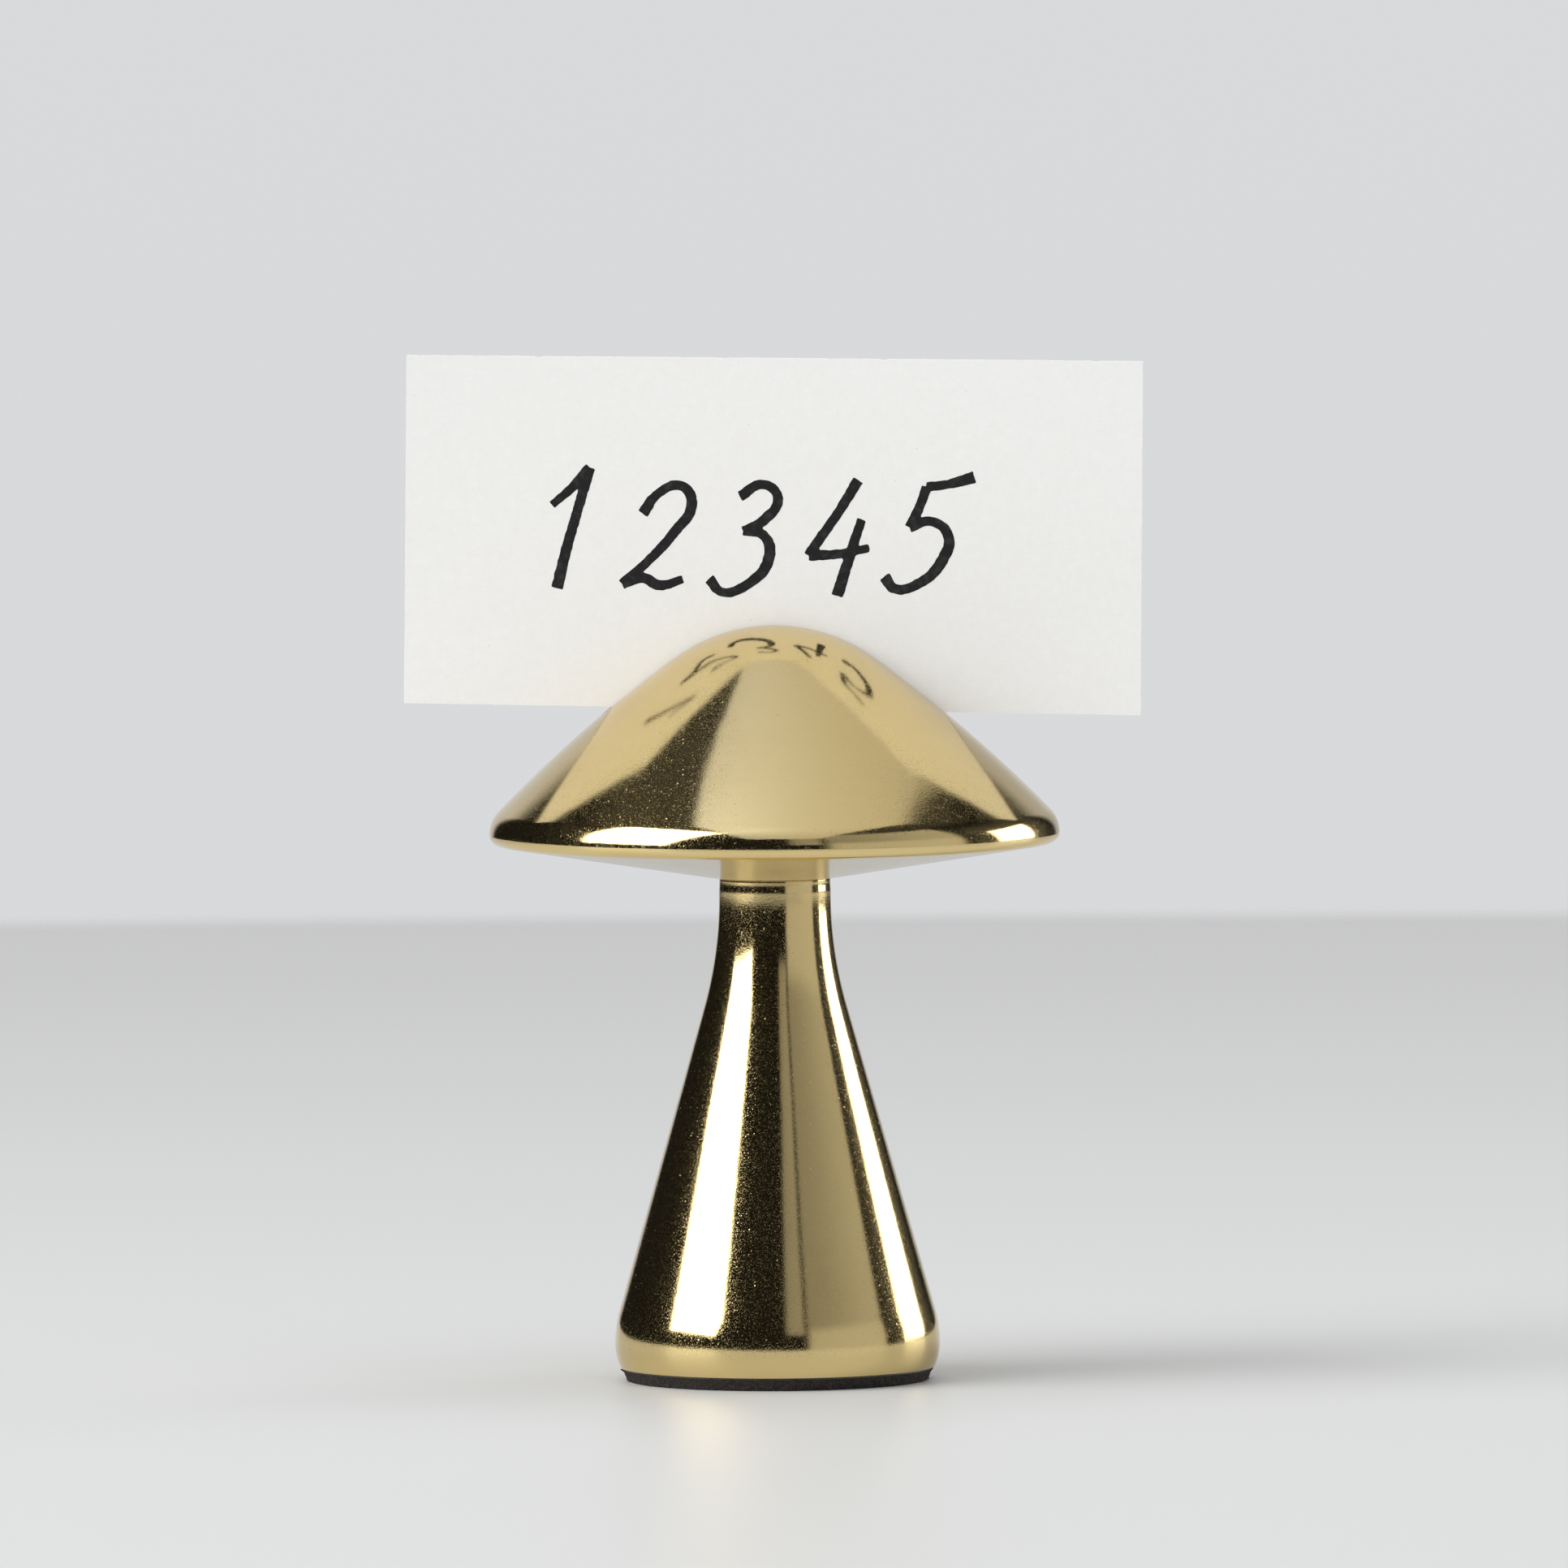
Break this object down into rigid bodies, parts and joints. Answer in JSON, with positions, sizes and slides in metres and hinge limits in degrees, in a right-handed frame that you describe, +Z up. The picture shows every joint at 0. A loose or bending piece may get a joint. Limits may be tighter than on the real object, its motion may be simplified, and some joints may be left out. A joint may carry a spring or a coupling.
{
  "type": "place card holder",
  "caption": "Mushroom-shaped place card holder: a polished domed cap with a card slot across its crown, screwed onto a flared stem that stands on a foam pad.",
  "frame": {"origin": "centre of the pad's underside, on the table", "axes": "+Z up along the stem, +X along the card slot, -Y towards the card's face"},
  "size_m": [0.0624, 0.0478, 0.0865],
  "materials": {
    "polished_gold": "mirror polished, pale gold colour",
    "zinc_steel": "bright zinc plated",
    "adhesive_film": "thin dark acrylic film, tacky",
    "black_foam": "closed-cell foam, matt, die-cut edge",
    "card_stock": "uncoated white card"
  },
  "bodies": {
    "holder": {"cap": "polished_gold", "stem": "polished_gold", "cap_screw": "zinc_steel", "spring_washer": "zinc_steel", "flat_washer": "zinc_steel", "pad_adhesive": "adhesive_film", "base_pad": "black_foam"},
    "card": {"place_card": "card_stock"}
  },
  "joints": [
    {"name": "card_lift", "type": "slide", "parent": "holder", "child": "card", "axis": [0, 0, 1], "range_m": [0, 0.01]}
  ]
}
